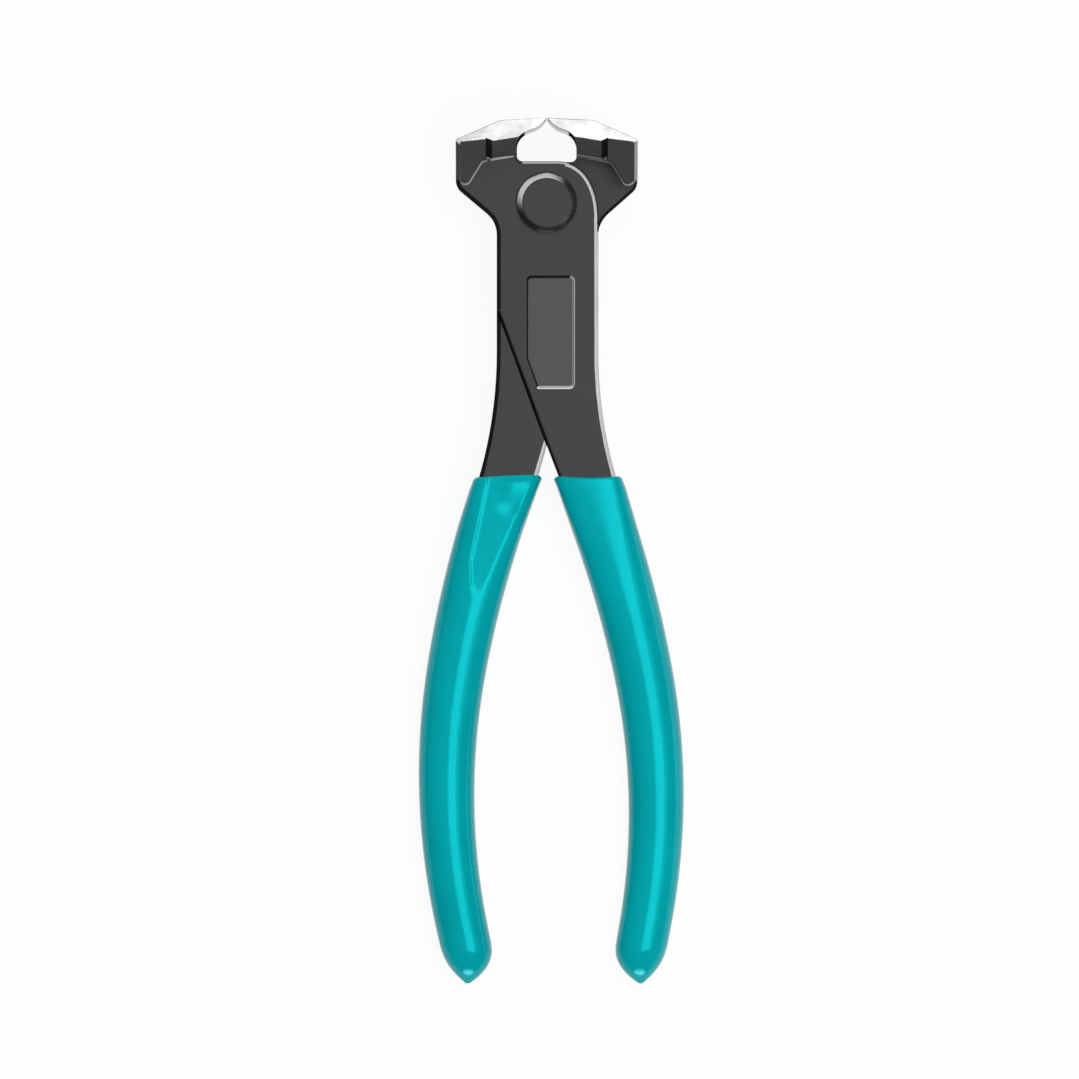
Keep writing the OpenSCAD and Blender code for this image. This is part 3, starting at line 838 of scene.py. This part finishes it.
def softbox(name, azimuth, elevation, distance, size, radiance):
    """A rectangular lamp of an even brightness, turned to the tool."""
    lamp = bpy.data.lights.new(name, "AREA")
    lamp.shape = "RECTANGLE"
    lamp.size, lamp.size_y = size
    lamp.energy = radiance * math.pi * size[0] * size[1]
    box = bpy.data.objects.new(name, lamp)
    bpy.context.scene.collection.objects.link(box)
    away = way_to(azimuth, elevation)
    box.location = AIM + away * distance
    box.rotation_euler = away.to_track_quat("Z", "Y").to_euler()
    box.visible_camera = False


def glow(tree, direction, azimuth, elevation, start, end, low, high):
    """Brightness that rises from low to high as the cosine to a direction goes from start to end."""
    facing = tree.nodes.new("ShaderNodeVectorMath")
    facing.operation = "DOT_PRODUCT"
    facing.inputs[1].default_value = way_to(azimuth, elevation)
    tree.links.new(direction, facing.inputs[0])
    spread = tree.nodes.new("ShaderNodeMapRange")
    spread.interpolation_type = "SMOOTHSTEP"
    spread.inputs["From Min"].default_value = start
    spread.inputs["From Max"].default_value = end
    spread.inputs["To Min"].default_value = low
    spread.inputs["To Max"].default_value = high
    tree.links.new(facing.outputs["Value"], spread.inputs["Value"])
    return spread.outputs["Result"]


def light_studio():
    """Dark studio walls with a soft ceiling, a glow on the upper left and low ones right and in front."""
    world = bpy.data.worlds.new("studio")
    bpy.context.scene.world = world
    world.use_nodes = True
    tree = world.node_tree
    direction = tree.nodes.new("ShaderNodeTexCoord").outputs["Generated"]
    room = glow(tree, direction, *WALLS)
    for part in (CEILING, UPPER_LEFT, LOW_RIGHT, LOW_FRONT):
        total = tree.nodes.new("ShaderNodeMath")
        total.operation = "ADD"
        tree.links.new(room, total.inputs[0])
        tree.links.new(glow(tree, direction, *part), total.inputs[1])
        room = total.outputs["Value"]
    background = tree.nodes["Background"]
    background.inputs["Color"].default_value = (1, 1, 1, 1)
    tree.links.new(room, background.inputs["Strength"])


# Finishes; lever_finishes lists those of a lever in the order of its slots
black_steel = forged_finish("black_forged_steel", (0.036, 0.044), metal=0.0, roughness=0.44, specular=0.17)
# Pale steel that paints a highlight on the panel's lower wall
painted_highlight_edge = forged_finish("painted_highlight_forged_edge", (0.72, 0.82), metal=0.9, roughness=0.6, specular=0.5)
# Pale grey that paints the highlight strip on rims facing up and to the right
painted_rim_highlight = forged_finish("painted_highlight_shoulder", (0.52, 0.6), metal=0.0, roughness=0.5, specular=0.3)
# Pale grey that paints light lines on the feet, the right-facing jaw sides and the panel's right wall
painted_light_line = forged_finish("painted_light_forged_line", (0.28, 0.35), metal=0.0, roughness=0.5, specular=0.3)
# Near black: forging scale on the lap rims, and painted shade on rims facing away from the light, grooves
# and throat walls
scale_and_painted_shade = forged_finish("forging_scale_and_painted_shade", SCALE_AND_SHADE_GREYS, metal=0.0, roughness=0.6, specular=0.0)
# Slightly paler black: milled on the panel's floor, and a faint painted light line on the jaws' left sides
milled_and_painted_light_steel = forged_finish("black_milled_steel_and_painted_light", (0.046, 0.056), metal=0.0, roughness=0.42, specular=0.3)
rivet_bevel = forged_finish(
    "burnished_rivet_bevel", (0.74, 0.82), metal=1.0, roughness=0.14, specular=0.5, relief=0.002 * MM
)
ground_steel = ground_finish()
teal_vinyl = dipped_finish()
lever_finishes = (
    black_steel, painted_highlight_edge, painted_light_line, scale_and_painted_shade, milled_and_painted_light_steel, ground_steel, painted_rim_highlight
)

# Pieces, each with the solid it stands for, the body it rides on and its material slot
front = dressed_lever("front_lever", "front_lever_forging", PANEL_X, 1, lever_finishes)
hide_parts("front_lever")
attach(front, "front_half")

rear = dressed_lever("rear_lever", "rear_lever_forging", 0, -1, lever_finishes)
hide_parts("rear_lever")
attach(rear, "rear_half")

rivet = dressed_rivet(black_steel, rivet_bevel)
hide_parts("pivot_rivet")
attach(rivet, "rear_half")

left_sleeve = dressed_grip("left_grip", "left_grip_sleeve", LEFT_MOUTH, teal_vinyl)
press_flat(left_sleeve)
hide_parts("left_grip")
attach(left_sleeve, "rear_half")

right_sleeve = dressed_grip("right_grip", "right_grip_sleeve", RIGHT_MOUTH, teal_vinyl)
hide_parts("right_grip")
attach(right_sleeve, "front_half")

# Floor, camera and light
tilt = math.atan2(GRIP_REST_Z - JAW_REST_Z, JAW_REST_Y - GRIP_REST_Y)
bpy.ops.object.select_all(action="DESELECT")
bpy.ops.mesh.primitive_plane_add(
    size=FLOOR_SIZE, location=(0, JAW_REST_Y, JAW_REST_Z - NEAR), rotation=(-tilt, 0, 0)
)
floor = bpy.context.object
floor.name = "floor"
floor.data.materials.append(floor_finish())

camera_data = bpy.data.cameras.new("camera")
camera_data.lens = LENS
camera_data.sensor_width = SENSOR_W
camera_data.clip_end = CLIP_END
camera = bpy.data.objects.new("camera", camera_data)
bpy.context.scene.collection.objects.link(camera)
bpy.context.scene.camera = camera
camera.location = (VIEW_X, VIEW_Y, LAP_Z + FRAME_W * LENS / SENSOR_W)

softbox("overhead_core", azimuth=0, elevation=77.3, distance=1.1, size=(0.9, 0.43), radiance=6.2)
softbox("overhead_edge", azimuth=0, elevation=60, distance=1.1, size=(0.9, 0.28), radiance=2.0)
light_studio()
bpy.context.scene.view_settings.view_transform = "Standard"
